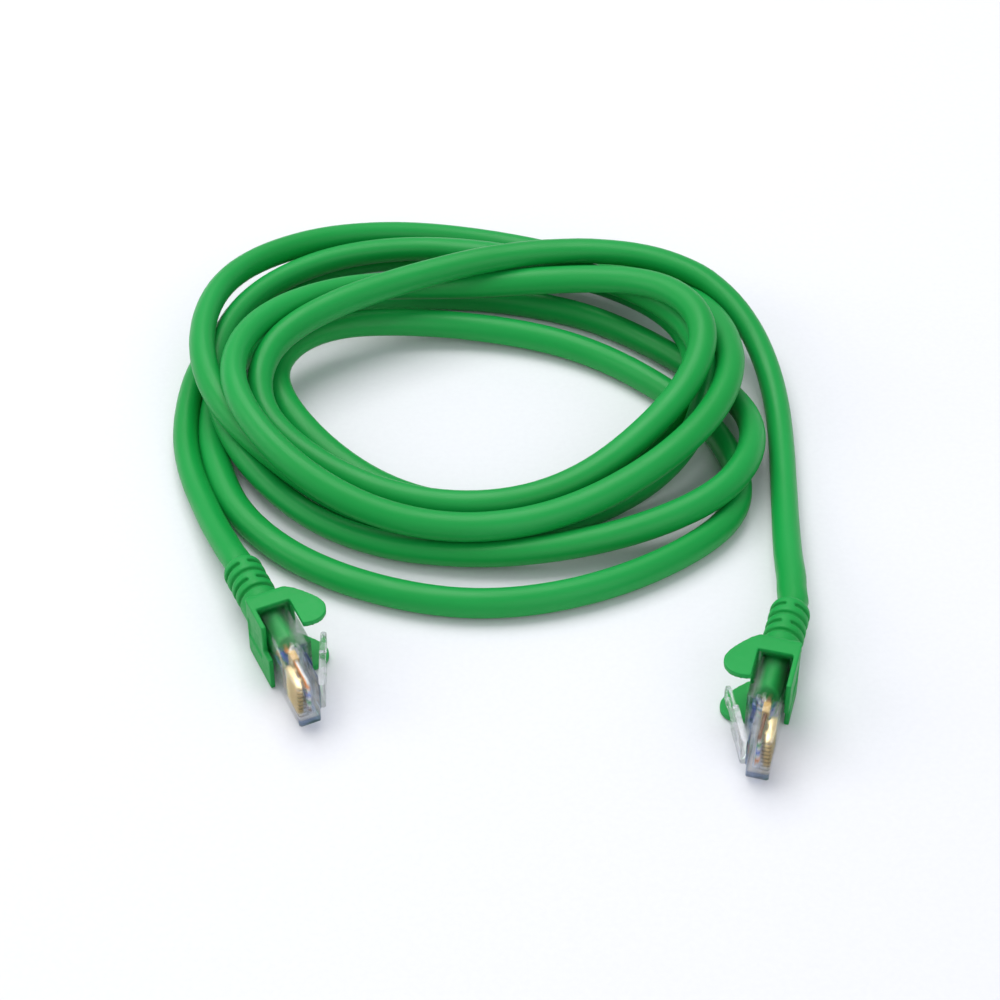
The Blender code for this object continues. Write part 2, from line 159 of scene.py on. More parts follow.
def carved(blank: bmesh.types.BMesh, tools: list[bmesh.types.BMesh], how: Cut) -> bmesh.types.BMesh:
    """Cut or join tool shapes, one after another.

    Args:
        blank: the shape that is worked on.
        tools: closed shapes; they are used up.
        how: whether each tool is taken away or added.

    Returns:
        The worked shape.
    """
    work = holder(blank, "blank")
    used = [holder(tool, "tool") for tool in tools]
    for tool in used:
        step = work.modifiers.new("carve", "BOOLEAN")
        step.operation = how.value
        step.solver = "EXACT"
        step.object = tool
    shape = taken_from(work)
    for tool in used:
        discard(tool)
    return shape


def moulded(shape: bmesh.types.BMesh, voxel: float, passes: int) -> bmesh.types.BMesh:
    """Remesh overlapping closed shapes into one skin with softly rounded edges.

    Args:
        shape: the shapes, in one bmesh.
        voxel: the size of the remeshed faces.
        passes: how often the skin is smoothed.

    Returns:
        The skin.
    """
    work = holder(shape, "mould")
    step = work.modifiers.new("skin", "REMESH")
    step.mode = "VOXEL"
    step.voxel_size = voxel
    step.adaptivity = 0.0
    skin = taken_from(work)
    for _ in range(passes):
        bmesh.ops.smooth_vert(skin, verts=skin.verts, factor=0.5, use_axis_x=True,
                              use_axis_y=True, use_axis_z=True)
    return skin


def joined(shapes: list[bmesh.types.BMesh]) -> bmesh.types.BMesh:
    """Gather several shapes into the first one."""
    first = shapes[0]
    for other in shapes[1:]:
        carrier = bpy.data.meshes.new("carrier")
        other.to_mesh(carrier)
        other.free()
        first.from_mesh(carrier)
        bpy.data.meshes.remove(carrier)
    return first


def smooth_line(points: list[Vector], steps: int) -> list[Vector]:
    """Read a Catmull-Rom line through points.

    Args:
        points: the points, all of one dimension.
        steps: how many parts each stretch is cut into.

    Returns:
        The line's points, the first and last ones included.
    """
    line = []
    padded = [points[0] * 2 - points[1], *points, points[-1] * 2 - points[-2]]
    for before, start, end, after in zip(padded, padded[1:], padded[2:], padded[3:]):
        for step in range(steps):
            t = step / steps
            line.append(0.5 * ((2 * start) + (end - before) * t
                               + (2 * before - 5 * start + 4 * end - after) * t ** 2
                               + (3 * start - before - 3 * end + after) * t ** 3))
    line.append(points[-1])
    return line


def swept(path: list[Vector], section: list[tuple[float, float, float]], sides: int,
          attribute: str) -> bmesh.types.BMesh:
    """Sweep a round or oval section along a path, ring by ring, and close both ends.

    Args:
        path: the section's middle at every ring.
        section: half width, half height and turn of the section at every ring.
        sides: faces round the section.
        attribute: name of the vertex attribute that gets each point's place on the
            straightened tube: across, across, along.

    Returns:
        A closed tube.
    """
    shape = bmesh.new()
    straight = shape.verts.layers.float_vector.new(attribute)
    bmesh.ops.create_circle(shape, segments=sides, radius=1.0, cap_ends=False)
    ring = list(shape.verts)
    edges = list(shape.edges)
    placed = Matrix.Identity(4)
    along = 0.0
    for index, middle in enumerate(path):
        ahead = path[min(index + 1, len(path) - 1)] - path[max(index - 1, 0)]
        ahead.normalize()
        across = ahead.cross(Vector((0.0, 0.0, 1.0))).normalized()
        half_width, half_height, turn = section[index]
        side = Matrix.Rotation(turn, 3, ahead) @ across
        up = ahead.cross(side)
        station = Matrix((
            (side.x * half_width, up.x * half_height, ahead.x, middle.x),
            (side.y * half_width, up.y * half_height, ahead.y, middle.y),
            (side.z * half_width, up.z * half_height, ahead.z, middle.z),
            (0.0, 0.0, 0.0, 1.0)))
        back = placed.inverted()
        if index:
            along += (middle - path[index - 1]).length
            grown = bmesh.ops.extrude_edge_only(shape, edges=edges)["geom"]
            ring = [item for item in grown if isinstance(item, bmesh.types.BMVert)]
            edges = [item for item in grown if isinstance(item, bmesh.types.BMEdge)
                     and item.verts[0] in set(ring) and item.verts[1] in set(ring)]
        for corner in ring:
            unit = back @ corner.co
            corner[straight] = (unit.x * half_width, unit.y * half_height, along)
        bmesh.ops.transform(shape, matrix=station @ back, verts=ring)
        placed = station
    open_edges = [edge for edge in shape.edges if edge.is_boundary]
    bmesh.ops.holes_fill(shape, edges=open_edges, sides=0)
    bmesh.ops.recalc_face_normals(shape, faces=shape.faces)
    return shape


def finished(shape: bmesh.types.BMesh, name: str, material: bpy.types.Material, body: str,
             crease: float = 35.0) -> bpy.types.Object:
    """Turn a shape into a shown piece that rides on a body.

    Args:
        shape: the mesh in the frame's own place; it is used up.
        name: the piece's name.
        material: its finish.
        body: the body it rides on.
        crease: edges that bend more than this many degrees stay sharp.

    Returns:
        The piece.
    """
    limit = math.radians(crease)
    for edge in shape.edges:
        edge.smooth = edge.calc_face_angle(0.0) < limit
    for face in shape.faces:
        face.smooth = True
        face.material_index = 0
    piece = holder(shape, name)
    piece.data.materials.append(material)
    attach(piece, body)
    LOG.info("%s: %d faces", name, len(piece.data.polygons))
    return piece


# ---------------------------------------------------------------- finishes


class NodeSheet:
    """A material's node tree with short calls for the nodes that the finishes use."""

    def __init__(self, name: str) -> None:
        """Start a new material with a Principled shader."""
        self.material = bpy.data.materials.new(name)
        self.material.use_nodes = True
        self.tree = self.material.node_tree
        self.shader = self.tree.nodes["Principled BSDF"]

    def add(self, kind: str, **settings: object) -> bpy.types.Node:
        """Add a node and set its own properties."""
        node = self.tree.nodes.new(kind)
        for key, value in settings.items():
            setattr(node, key, value)
        return node

    def link(self, output: bpy.types.NodeSocket, target: bpy.types.NodeSocket) -> None:
        """Join two sockets."""
        self.tree.links.new(output, target)

    def place(self, attribute: str) -> bpy.types.NodeSocket:
        """Return a vertex attribute's vector."""
        return self.add("ShaderNodeAttribute", attribute_name=attribute).outputs["Vector"]

    def noise(self, vector: bpy.types.NodeSocket, scale: float, detail: float = 3.0,
              stretch: tuple[float, float, float] = (1.0, 1.0, 1.0)) -> bpy.types.NodeSocket:
        """Return a noise pattern's value, with the pattern stretched along the axes."""
        mapping = self.add("ShaderNodeMapping")
        mapping.inputs["Scale"].default_value = stretch
        pattern = self.add("ShaderNodeTexNoise")
        pattern.inputs["Scale"].default_value = scale
        pattern.inputs["Detail"].default_value = detail
        self.link(vector, mapping.inputs["Vector"])
        self.link(mapping.outputs["Vector"], pattern.inputs["Vector"])
        return pattern.outputs["Fac"]

    def ramp(self, value: bpy.types.NodeSocket,
             stops: list[tuple[float, tuple]]) -> bpy.types.NodeSocket:
        """Return the colour that a value picks from a colour ramp."""
        node = self.add("ShaderNodeValToRGB")
        points = node.color_ramp.elements
        while len(points) < len(stops):
            points.new(0.5)
        for point, (position, colour) in zip(points, stops):
            point.position = position
            point.color = (*colour, 1.0)
        self.link(value, node.inputs["Fac"])
        return node.outputs["Color"]

    def span(self, value: bpy.types.NodeSocket, source: Point,
             target: Point) -> bpy.types.NodeSocket:
        """Return a value carried from one range to another, clamped."""
        node = self.add("ShaderNodeMapRange")
        node.inputs["From Min"].default_value = source[0]
        node.inputs["From Max"].default_value = source[1]
        node.inputs["To Min"].default_value = target[0]
        node.inputs["To Max"].default_value = target[1]
        self.link(value, node.inputs["Value"])
        return node.outputs["Result"]

    def sum(self, operation: str, first: bpy.types.NodeSocket,
            second: bpy.types.NodeSocket | float) -> bpy.types.NodeSocket:
        """Return the result of one operation on two values."""
        node = self.add("ShaderNodeMath", operation=operation)
        self.link(first, node.inputs[0])
        if isinstance(second, float):
            node.inputs[1].default_value = second
        else:
            self.link(second, node.inputs[1])
        return node.outputs["Value"]

    def relief(self, height: bpy.types.NodeSocket, strength: float, distance: float,
               under: bpy.types.NodeSocket | None = None) -> bpy.types.NodeSocket:
        """Return a bump normal from a height pattern, on top of another one if given."""
        node = self.add("ShaderNodeBump")
        node.inputs["Strength"].default_value = strength
        node.inputs["Distance"].default_value = distance
        self.link(height, node.inputs["Height"])
        if under is not None:
            self.link(under, node.inputs["Normal"])
        return node.outputs["Normal"]

    def axis(self, vector: bpy.types.NodeSocket, letter: str) -> bpy.types.NodeSocket:
        """Return one coordinate of a vector."""
        node = self.add("ShaderNodeSeparateXYZ")
        self.link(vector, node.inputs["Vector"])
        return node.outputs[letter]


@dataclass(frozen=True)
class GreenVinyl:
    """Satin green vinyl, for the extruded jacket or the moulded boots."""

    name: str
    attribute: str
    colour: tuple[float, float, float] = (0.004, 0.29, 0.045)
    light: tuple[float, float, float] = (0.008, 0.34, 0.062)
    roughness: Point = (0.34, 0.46)
    streak: float = 6.0
    grain: float = 2600.0

    def material(self) -> bpy.types.Material:
        """Build the material: faint streaks along the extrusion, soft mottling and fine grain."""
        sheet = NodeSheet(self.name)
        place = sheet.place(self.attribute)
        mottle = sheet.noise(place, 55.0, 3.0, (1.0, 1.0, 0.35))
        sheet.link(sheet.ramp(mottle, [(0.3, self.colour), (0.72, self.light)]),
                   sheet.shader.inputs["Base Color"])
        streaks = sheet.noise(place, 900.0, 2.0, (1.0, 1.0, 1.0 / self.streak))
        sheet.link(sheet.span(streaks, (0.3, 0.7), self.roughness),
                   sheet.shader.inputs["Roughness"])
        fine = sheet.noise(place, self.grain, 2.0)
        broad = sheet.noise(place, 150.0, 2.0, (1.0, 1.0, 0.3))
        under = sheet.relief(broad, 0.25, 0.25 * MM)
        sheet.link(sheet.relief(fine, 0.12, 0.04 * MM, under), sheet.shader.inputs["Normal"])
        sheet.shader.inputs["Specular IOR Level"].default_value = 0.27
        sheet.shader.inputs["Subsurface Weight"].default_value = 0.04
        sheet.shader.inputs["Subsurface Radius"].default_value = (0.0006, 0.0012, 0.0006)
        return sheet.material


@dataclass(frozen=True)
class ClearResin:
    """Clear moulded polycarbonate with flow marks and painted bluish shade at the nose's foot and
    latch side.
    """

    name: str
    # Whether the painted bluish shade is put on.
    with_painted_shade: bool = True
    clear: tuple[float, float, float] = (0.985, 0.99, 0.995)
    # Colour of the painted bluish shade.
    painted_shade_colour: tuple[float, float, float] = (0.13, 0.25, 0.60)
    # Alpha of the clear resin and of the painted shade.
    body: Point = (0.40, 0.88)
    plain_body: float = 0.72

    def material(self) -> bpy.types.Material:
        """Build the material: transmission, faint flow lines and the painted bluish shade by place
        and by height over the floor.
        """
        sheet = NodeSheet(self.name)
        place = sheet.place("plug_place")
        shader = sheet.shader
        shader.inputs["Transmission Weight"].default_value = 1.0
        shader.inputs["IOR"].default_value = 1.25
        shader.inputs["Base Color"].default_value = (*self.clear, 1.0)
        flow = sheet.noise(place, 700.0, 2.0, (0.25, 1.0, 1.0))
        sheet.link(sheet.span(flow, (0.35, 0.7), (0.02, 0.09)), shader.inputs["Roughness"])
        sheet.link(sheet.relief(flow, 0.06, 0.05 * MM), shader.inputs["Normal"])
        # Painted bluish shade, not a dye: darker, more opaque blue where the nose lies low over the
        # floor and on the latch-side face ahead of the step.
        if self.with_painted_shade:
            wander = sheet.span(sheet.noise(place, 420.0, 3.0), (0.3, 0.7), (-0.5 * MM, 0.5 * MM))
            ahead = sheet.sum("ADD", sheet.axis(place, "X"), wander)
            nose = sheet.span(ahead, (-1.25 * MM, -0.35 * MM), (0.0, 1.0))
            high = sheet.span(sheet.axis(place, "Y"), (3.9 * MM, 4.4 * MM), (0.0, 1.0))
            height = sheet.axis(sheet.add("ShaderNodeTexCoord").outputs["Object"], "Z")
            low = sheet.span(height, (2.4 * MM, 3.0 * MM), (1.0, 0.0))
            step = sheet.span(ahead, (-10.2 * MM, -9.0 * MM), (0.0, 1.0))
            shade = sheet.sum("MAXIMUM", sheet.sum("MULTIPLY", nose, low),
                              sheet.sum("MULTIPLY", high, step))
            sheet.link(sheet.ramp(shade, [(0.0, self.clear), (1.0, self.painted_shade_colour)]),
                       shader.inputs["Base Color"])
            sheet.link(sheet.span(shade, (0.0, 1.0), self.body), shader.inputs["Alpha"])
        else:
            shader.inputs["Alpha"].default_value = self.plain_body
        return sheet.material


@dataclass(frozen=True)
class AmberResin:
    """The load bar's translucent amber plastic."""

    name: str = "amber_load_bar"

    def material(self) -> bpy.types.Material:
        """Build the material: pale amber, part clear, with a soft cloudiness."""
        sheet = NodeSheet(self.name)
        place = sheet.place("plug_place")
        cloud = sheet.noise(place, 600.0, 3.0)
        sheet.link(sheet.ramp(cloud, [(0.3, (0.80, 0.50, 0.13)), (0.7, (0.95, 0.74, 0.33))]),
                   sheet.shader.inputs["Base Color"])
        sheet.link(sheet.span(cloud, (0.3, 0.7), (0.18, 0.34)), sheet.shader.inputs["Roughness"])
        sheet.shader.inputs["Transmission Weight"].default_value = 0.35
        sheet.shader.inputs["IOR"].default_value = 1.5
        return sheet.material


@dataclass(frozen=True)
class GoldPlate:
    """Gold plating on the stamped contacts, with rolling lines and a soft patina."""

    name: str = "gold_contact"

    def material(self) -> bpy.types.Material:
        """Build the material: plated gold with fine lines along each blade."""
        sheet = NodeSheet(self.name)
        place = sheet.place("plug_place")
        lines = sheet.noise(place, 2500.0, 2.0, (0.08, 1.0, 1.0))
        patina = sheet.noise(place, 380.0, 3.0)
        sheet.link(sheet.ramp(patina, [(0.3, (0.76, 0.58, 0.27)), (0.7, (0.94, 0.78, 0.46))]),
                   sheet.shader.inputs["Base Color"])
        sheet.link(sheet.span(lines, (0.3, 0.7), (0.28, 0.46)), sheet.shader.inputs["Roughness"])
        sheet.link(sheet.relief(lines, 0.15, 0.02 * MM), sheet.shader.inputs["Normal"])
        sheet.shader.inputs["Metallic"].default_value = 1.0
        return sheet.material


@dataclass(frozen=True)
class WireSkin:
    """Insulation of one wire: a plain colour, or white with a coloured stripe."""

    name: str
    colour: tuple[float, float, float]
    striped: bool
    white: tuple[float, float, float] = (0.80, 0.79, 0.75)

    def material(self) -> bpy.types.Material:
        """Build the material: a stripe along one side of the white wires, and a satin skin."""
        sheet = NodeSheet(self.name)
        place = sheet.place("wire_place")
        skin = sheet.noise(place, 1500.0, 2.0, (1.0, 1.0, 0.3))
        sheet.link(sheet.span(skin, (0.3, 0.7), (0.30, 0.48)), sheet.shader.inputs["Roughness"])
        sheet.link(sheet.relief(skin, 0.1, 0.02 * MM), sheet.shader.inputs["Normal"])
        darker = tuple(0.86 * part for part in self.colour)
        if self.striped:
            across = sheet.axis(place, "X")
            stripe = sheet.span(across, (0.20 * MM, 0.24 * MM), (0.0, 1.0))
            sheet.link(sheet.ramp(stripe, [(0.0, self.white), (1.0, self.colour)]),
                       sheet.shader.inputs["Base Color"])
        else:
            sheet.link(sheet.ramp(skin, [(0.3, darker), (0.7, self.colour)]),
                       sheet.shader.inputs["Base Color"])
        return sheet.material


@dataclass(frozen=True)
class StudioPaper:
    """The seamless pale paper that the cable lies on."""

    name: str = "studio_paper"

    def material(self) -> bpy.types.Material:
        """Build the material: matt near-white with the faintest tooth."""
        sheet = NodeSheet(self.name)
        place = sheet.add("ShaderNodeTexCoord").outputs["Object"]
        tooth = sheet.noise(place, 900.0, 2.0)
        sheet.link(sheet.ramp(tooth, [(0.3, (0.795, 0.80, 0.82)), (0.7, (0.81, 0.815, 0.835))]),
                   sheet.shader.inputs["Base Color"])
        sheet.shader.inputs["Roughness"].default_value = 0.9
        sheet.shader.inputs["Specular IOR Level"].default_value = 0.1
        return sheet.material


# ---------------------------------------------------------------- studio


@dataclass
class Studio:
    """Camera, floor and lights."""

    target: Vector = field(default_factory=lambda: Vector((-2.8, 51.7, 0.0)) * MM)
    distance: float = 0.521
    elevation: float = math.radians(42.7)
    lens: float = 90.0
    sensor: float = 36.0
    floor_size: float = 8.0
    floor_depth: float = 0.0002

    def build(self) -> None:
        """Make the camera first, then the floor and the lights."""
        bpy.context.scene.view_settings.view_transform = "Standard"
        self.camera()
        self.floor()
        self.world()
        self.softbox("overhead_softbox", Vector((-0.22, 0.40, 1.05)), 0.9, 10.0, (1.0, 1.0, 1.0))
        self.softbox("front_fill", Vector((0.5, -0.9, 0.7)), 0.9, 3.0, (0.97, 0.98, 1.0))
        self.softbox("left_strip", Vector((-1.0, -0.1, 0.55)), 0.6, 2.4, (1.0, 1.0, 1.0))

    def camera(self) -> None:
        """Make the camera and look at the middle of the layout."""
        lens = bpy.data.cameras.new("camera")
        lens.lens = self.lens
        lens.sensor_width = self.sensor
        lens.clip_start = 0.01
        lens.clip_end = 20.0
        camera = bpy.data.objects.new("camera", lens)
        bpy.context.scene.collection.objects.link(camera)
        back = Vector((0.0, -math.cos(self.elevation), math.sin(self.elevation)))
        camera.location = self.target + back * self.distance
        camera.rotation_euler = (-back).to_track_quat("-Z", "Y").to_euler()
        bpy.context.scene.camera = camera

    def floor(self) -> None:
        """Lay the floor just under the cable."""
        shape = bmesh.new()
        bmesh.ops.create_grid(shape, x_segments=1, y_segments=1, size=self.floor_size / 2)
        bmesh.ops.translate(shape, verts=shape.verts, vec=(0.0, 0.0, -self.floor_depth))
        paper = holder(shape, "floor")
        paper.data.materials.append(StudioPaper().material())

    def world(self) -> None:
        """Surround the scene with even pale light."""
        world = bpy.data.worlds.new("studio")
        world.use_nodes = True
        light = world.node_tree.nodes["Background"]
        light.inputs["Color"].default_value = (0.90, 0.92, 1.0, 1.0)
        light.inputs["Strength"].default_value = 0.55
        bpy.context.scene.world = world

    def softbox(self, name: str, place: Vector, size: float, power: float,
                colour: tuple[float, float, float]) -> None:
        """Hang one square softbox that faces the cable.

        Args:
            name: the light's name.
            place: where it hangs, from the layout's middle.
            size: its edge.
            power: its power in watts.
            colour: its colour.
        """
        lamp = bpy.data.lights.new(name, "AREA")
        lamp.size = size
        lamp.energy = power
        lamp.color = colour
        light = bpy.data.objects.new(name, lamp)
        bpy.context.scene.collection.objects.link(light)
        light.location = self.target + place
        light.rotation_euler = place.to_track_quat("Z", "Y").to_euler()


# ---------------------------------------------------------------- plug


@dataclass
class PlugPlace:
    """Where one plug lies, read from its nose mount and its latch joint in the record."""

    side: Side
    nose_middle: float = 3.2 * MM

    @property
    def matrix(self) -> Matrix:
        """Return the plug frame as a matrix."""
        record = frame["record"]
        mount = next(m for m in record["mounts"] if m["name"] == f"plug_{self.side.value}_nose")
        joint = next(j for j in frame["joints"] if j["child"] == f"latch_{self.side.value}")
        ahead = Vector(mount["axis"]).normalized()
        across = Vector(joint["axis"]).normalized()
        out = across.cross(ahead)
        origin = Vector(mount["pos_m"]) - out * self.nose_middle
        turn = Matrix((ahead, out, across)).transposed().to_4x4()
        return Matrix.Translation(origin) @ turn

    def node(self, name: str) -> str:
        """Return the name of one of this plug's CAD nodes."""
        return f"plug_{self.side.value}_{name}"


@dataclass
class PlugPattern:
    """Base of the plug's sub-parts: one mesh in the plug frame, set into both plugs."""

    mesh: bpy.types.Mesh | None = None

    def model(self) -> bmesh.types.BMesh:
        """Model the sub-part in the plug frame."""
        raise NotImplementedError

    def copy(self) -> bmesh.types.BMesh:
        """Return the sub-part's shape with its plug-frame coordinates kept as an attribute."""
        if self.mesh is None:
            shape = self.model()
            layer = shape.verts.layers.float_vector.new("plug_place")
            for corner in shape.verts:
                corner[layer] = corner.co
            self.mesh = bpy.data.meshes.new("pattern")
            shape.to_mesh(self.mesh)
            shape.free()
        shape = bmesh.new()
        shape.from_mesh(self.mesh)
        return shape

    def placed(self, matrix: Matrix) -> bmesh.types.BMesh:
        """Return the sub-part's shape in a plug's place."""
        shape = self.copy()
        bmesh.ops.transform(shape, matrix=matrix, verts=shape.verts)
        return shape


@dataclass
class Boot(PlugPattern):
    """Moulded boot: rear block, contact-side wall, two ears and a ribbed neck."""

    half_width: float = 6.84 * MM
    wall: float = 1.10 * MM
    clearance: float = 0.10 * MM
    plug_thickness: float = 6.60 * MM
    plug_half_width: float = 5.84 * MM
    plug_length: float = 21.46 * MM
    block_front: float = 20.90 * MM
    block_back: float = 25.80 * MM
    wall_front: float = 12.60 * MM
    notch_front: float = 15.50 * MM
    ear_thickness: float = 1.24 * MM
    axis_y: float = 3.30 * MM
    neck_radius: float = 3.98 * MM
    neck_start: float = 24.50 * MM
    neck_end: float = 39.50 * MM
    dome: float = 1.60 * MM
    bore: float = 3.00 * MM
    groove_width: float = 0.84 * MM
    groove_floor: float = 3.22 * MM
    bridged: Point = (37.2 * MM, 32.4 * MM)
    ringed: Point = (34.8 * MM, 30.0 * MM)
    bridge: float = math.radians(26.0)
    voxel: float = 0.2 * MM
    rear_bevel: float = 2.1 * MM
    hollow_half_height: float = 2.6 * MM
    hollow_half_width: float = 4.6 * MM
    ear_line: tuple[Point, ...] = (
        (13.7, 6.75), (13.4, 8.6), (13.7, 10.2), (14.5, 11.5), (15.6, 12.2), (17.0, 12.5),
        (18.6, 12.1), (20.2, 11.2), (22.2, 9.7), (23.7, 8.3), (24.2, 7.5), (24.1, 6.75))

    def ears(self) -> list[bmesh.types.BMesh]:
        """Model the two ears that guard the latch, one on each side."""
        line = smooth_line([Vector((-x, y)) * MM for x, y in self.ear_line], 5)
        outline = [(point.x, point.y) for point in line]
        inner = self.half_width - self.ear_thickness
        return [prism(outline, -self.half_width, -inner), prism(outline, inner, self.half_width)]

    def shell(self) -> bmesh.types.BMesh:
        """Model the block and the contact wall, hollowed for the plug and the cord."""
        wide = self.half_width
        high = self.plug_thickness + self.wall
        blank = prism([(-self.block_back, high), (-self.block_back, -self.wall),
                       (-self.wall_front, -self.wall), (-self.wall_front, -self.clearance),
                       (-self.block_front, -self.clearance), (-self.block_front, high)],
                      -wide, wide)
        rear = [edge for edge in blank.edges
                if all(abs(v.co.x + self.block_back) < 1e-6 for v in edge.verts)]
        bevelled(blank, rear, self.rear_bevel, 6)
        half = self.plug_half_width + self.clearance
        pocket = block((-self.plug_length - self.clearance, 0.0, -half),
                       (-self.wall_front + MM, self.plug_thickness + self.clearance, half))
        notch = block((-self.notch_front, -2 * MM, 0.6 * MM), (-self.wall_front + MM, MM, 2 * wide))
        thumb = prism([(-23.8 * MM, -2 * MM), (-23.8 * MM, -self.wall + 0.35 * MM),
                       (-16.6 * MM, -self.wall + 0.35 * MM), (-16.6 * MM, -2 * MM)],
                      -2.6 * MM, 2.6 * MM)
        bore = turned([(-self.block_back - MM, 0.2 * MM), (-self.block_back - MM, self.bore),
                       (-self.plug_length + 0.2 * MM, self.bore),
                       (-self.plug_length + 0.2 * MM, 0.2 * MM)], self.axis_y, 40)
        hollow = block((-self.neck_start, self.axis_y - self.hollow_half_height,
                        -self.hollow_half_width),
                       (-self.plug_length + 0.2 * MM, self.axis_y + self.hollow_half_height,
                        self.hollow_half_width))
        return carved(blank, [pocket, notch, thumb, bore, hollow], Cut.REMOVE)

    def neck(self) -> bmesh.types.BMesh:
        """Model the ribbed neck, with whole grooves turned and bridged ones cut."""
        half = self.groove_width / 2
        outer = [(-self.neck_start, self.bore), (-self.neck_start, self.neck_radius)]
        for groove in sorted(self.ringed):
            crest = 0.12 * MM
            outer += [(-groove + half + 0.5 * MM, self.neck_radius),
                      (-groove + half, self.neck_radius - crest),
                      (-groove + half, self.groove_floor), (-groove - half, self.groove_floor),
                      (-groove - half, self.neck_radius - crest),
                      (-groove - half - 0.5 * MM, self.neck_radius)]
        start = self.neck_end - self.dome
        for step in range(7):
            angle = math.pi / 2 * step / 6
            outer.append((-start - self.dome * math.sin(angle),
                          self.neck_radius - 0.85 * MM * (1 - math.cos(angle))))
        outer.append((-self.neck_end, self.bore))
        neck = turned(outer, self.axis_y, 64)
        tools = []
        for groove in self.bridged:
            for first in (0.0, math.pi):
                tools.append(self.slot(groove, first + self.bridge / 2, math.pi - self.bridge))
        return carved(neck, tools, Cut.REMOVE)

    def slot(self, groove: float, first: float, sweep: float) -> bmesh.types.BMesh:
        """Spin the section of a bridged groove through part of a turn.

        Args:
            groove: its distance back from the nose.
            first: the angle where it starts, from the plug's +Z.
            sweep: the angle it runs through.

        Returns:
            The cutting shape.
        """
        half = self.groove_width / 2
        outer = self.neck_radius + MM
        corners = ((-groove - half, self.groove_floor), (-groove + half, self.groove_floor),
                   (-groove + half, outer), (-groove - half, outer))
        shape = bmesh.new()
        face = shape.faces.new([shape.verts.new((x, self.axis_y, r)) for x, r in corners])
        centre = (0.0, self.axis_y, 0.0)
        bmesh.ops.rotate(shape, verts=shape.verts, cent=centre,
                         matrix=Matrix.Rotation(first, 4, "X"))
        bmesh.ops.spin(shape, geom=[face], cent=centre, axis=(1.0, 0.0, 0.0), angle=sweep,
                       steps=24, use_merge=False)
        bmesh.ops.recalc_face_normals(shape, faces=shape.faces)
        return shape

    def model(self) -> bmesh.types.BMesh:
        """Model the boot as one soft-edged moulding."""
        return moulded(joined([self.shell(), *self.ears(), self.neck()]), self.voxel, 2)

    def build(self, place: PlugPlace, material: bpy.types.Material) -> bpy.types.Object:
        """Set a boot on one plug."""
        piece = finished(self.placed(place.matrix), f"boot_{place.side.value}", material, "root",
                         60.0)
        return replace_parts(piece, place.node("boot"))


@dataclass
class Housing(PlugPattern):
    """Clear housing: nose with eight slots, stepped body, wire channel and rear cavity."""

    length: float = 21.46 * MM
    half_width: float = 5.84 * MM
    thickness: float = 6.60 * MM
    nose_thickness: float = 4.40 * MM
    step_start: float = 8.50 * MM
    step_end: float = 9.50 * MM
    cavity_depth: float = 11.40 * MM
    cavity_half_width: float = 5.00 * MM
    cavity_wall: float = 0.65 * MM
    channel: Point = (1.95 * MM, 3.40 * MM)
    channel_half_width: float = 4.55 * MM
    nose_wall: float = 1.20 * MM
    slot_width: float = 0.56 * MM
    slot_length: float = 7.20 * MM
    slot_depth: float = 2.00 * MM
    pitch: float = 1.016 * MM
    edge: float = 0.09 * MM

    def pins(self) -> list[float]:
        """Return where the eight contacts lie across the plug, from number 1."""
        return [(3.5 - index) * self.pitch for index in range(8)]

    def model(self) -> bmesh.types.BMesh:
        """Model the housing with crisp, slightly rounded edges."""
        half = self.half_width
        outline = [(0.0, 0.35 * MM), (0.0, self.nose_thickness - 0.3 * MM),
                   (-0.3 * MM, self.nose_thickness), (-self.step_start, self.nose_thickness),
                   (-self.step_end, self.thickness), (-self.length, self.thickness),
                   (-self.length, 0.0), (-0.35 * MM, 0.0)]
        blank = prism(outline, -half, half)
        tools = [block((-self.length - MM, self.cavity_wall, -self.cavity_half_width),
                       (-self.length + self.cavity_depth, self.thickness - self.cavity_wall,
                        self.cavity_half_width)),
                 block((-self.length + self.cavity_depth - MM, self.channel[0],
                        -self.channel_half_width),
                       (-self.nose_wall, self.channel[1], self.channel_half_width))]
        for z in self.pins():
            tools.append(block((-self.slot_length, -MM, z - self.slot_width / 2),
                               (MM, self.slot_depth, z + self.slot_width / 2)))
        shape = carved(blank, tools, Cut.REMOVE)
        root = prism([(-0.35 * MM, self.nose_thickness - 0.02 * MM), (-0.6 * MM, 4.72 * MM),
                      (-1.0 * MM, 4.56 * MM), (-1.5 * MM, 4.56 * MM), (-2.3 * MM, 4.50 * MM),
                      (-2.9 * MM, self.nose_thickness - 0.02 * MM)], -3.1 * MM, 3.1 * MM)
        rails = []
        for sign in (-1, 1):
            near, far = sorted((sign * 3.2 * MM, sign * 4.3 * MM))
            rails.append(block((-self.step_start - 0.1 * MM, self.nose_thickness - 0.02 * MM, near),
                               (-5.2 * MM, 5.2 * MM, far)))
        shape = carved(shape, [root, *rails], Cut.ADD)
        work = holder(shape, "housing")
        rounding = work.modifiers.new("edges", "BEVEL")
        rounding.width = self.edge
        rounding.segments = 2
        rounding.limit_method = "ANGLE"
        rounding.angle_limit = math.radians(28.0)
        return taken_from(work)

    def build(self, place: PlugPlace, material: bpy.types.Material) -> bpy.types.Object:
        """Set a housing in one plug's place."""
        piece = finished(self.placed(place.matrix), f"clear_housing_{place.side.value}", material,
                         "root", 25.0)
        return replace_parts(piece, place.node("housing"))


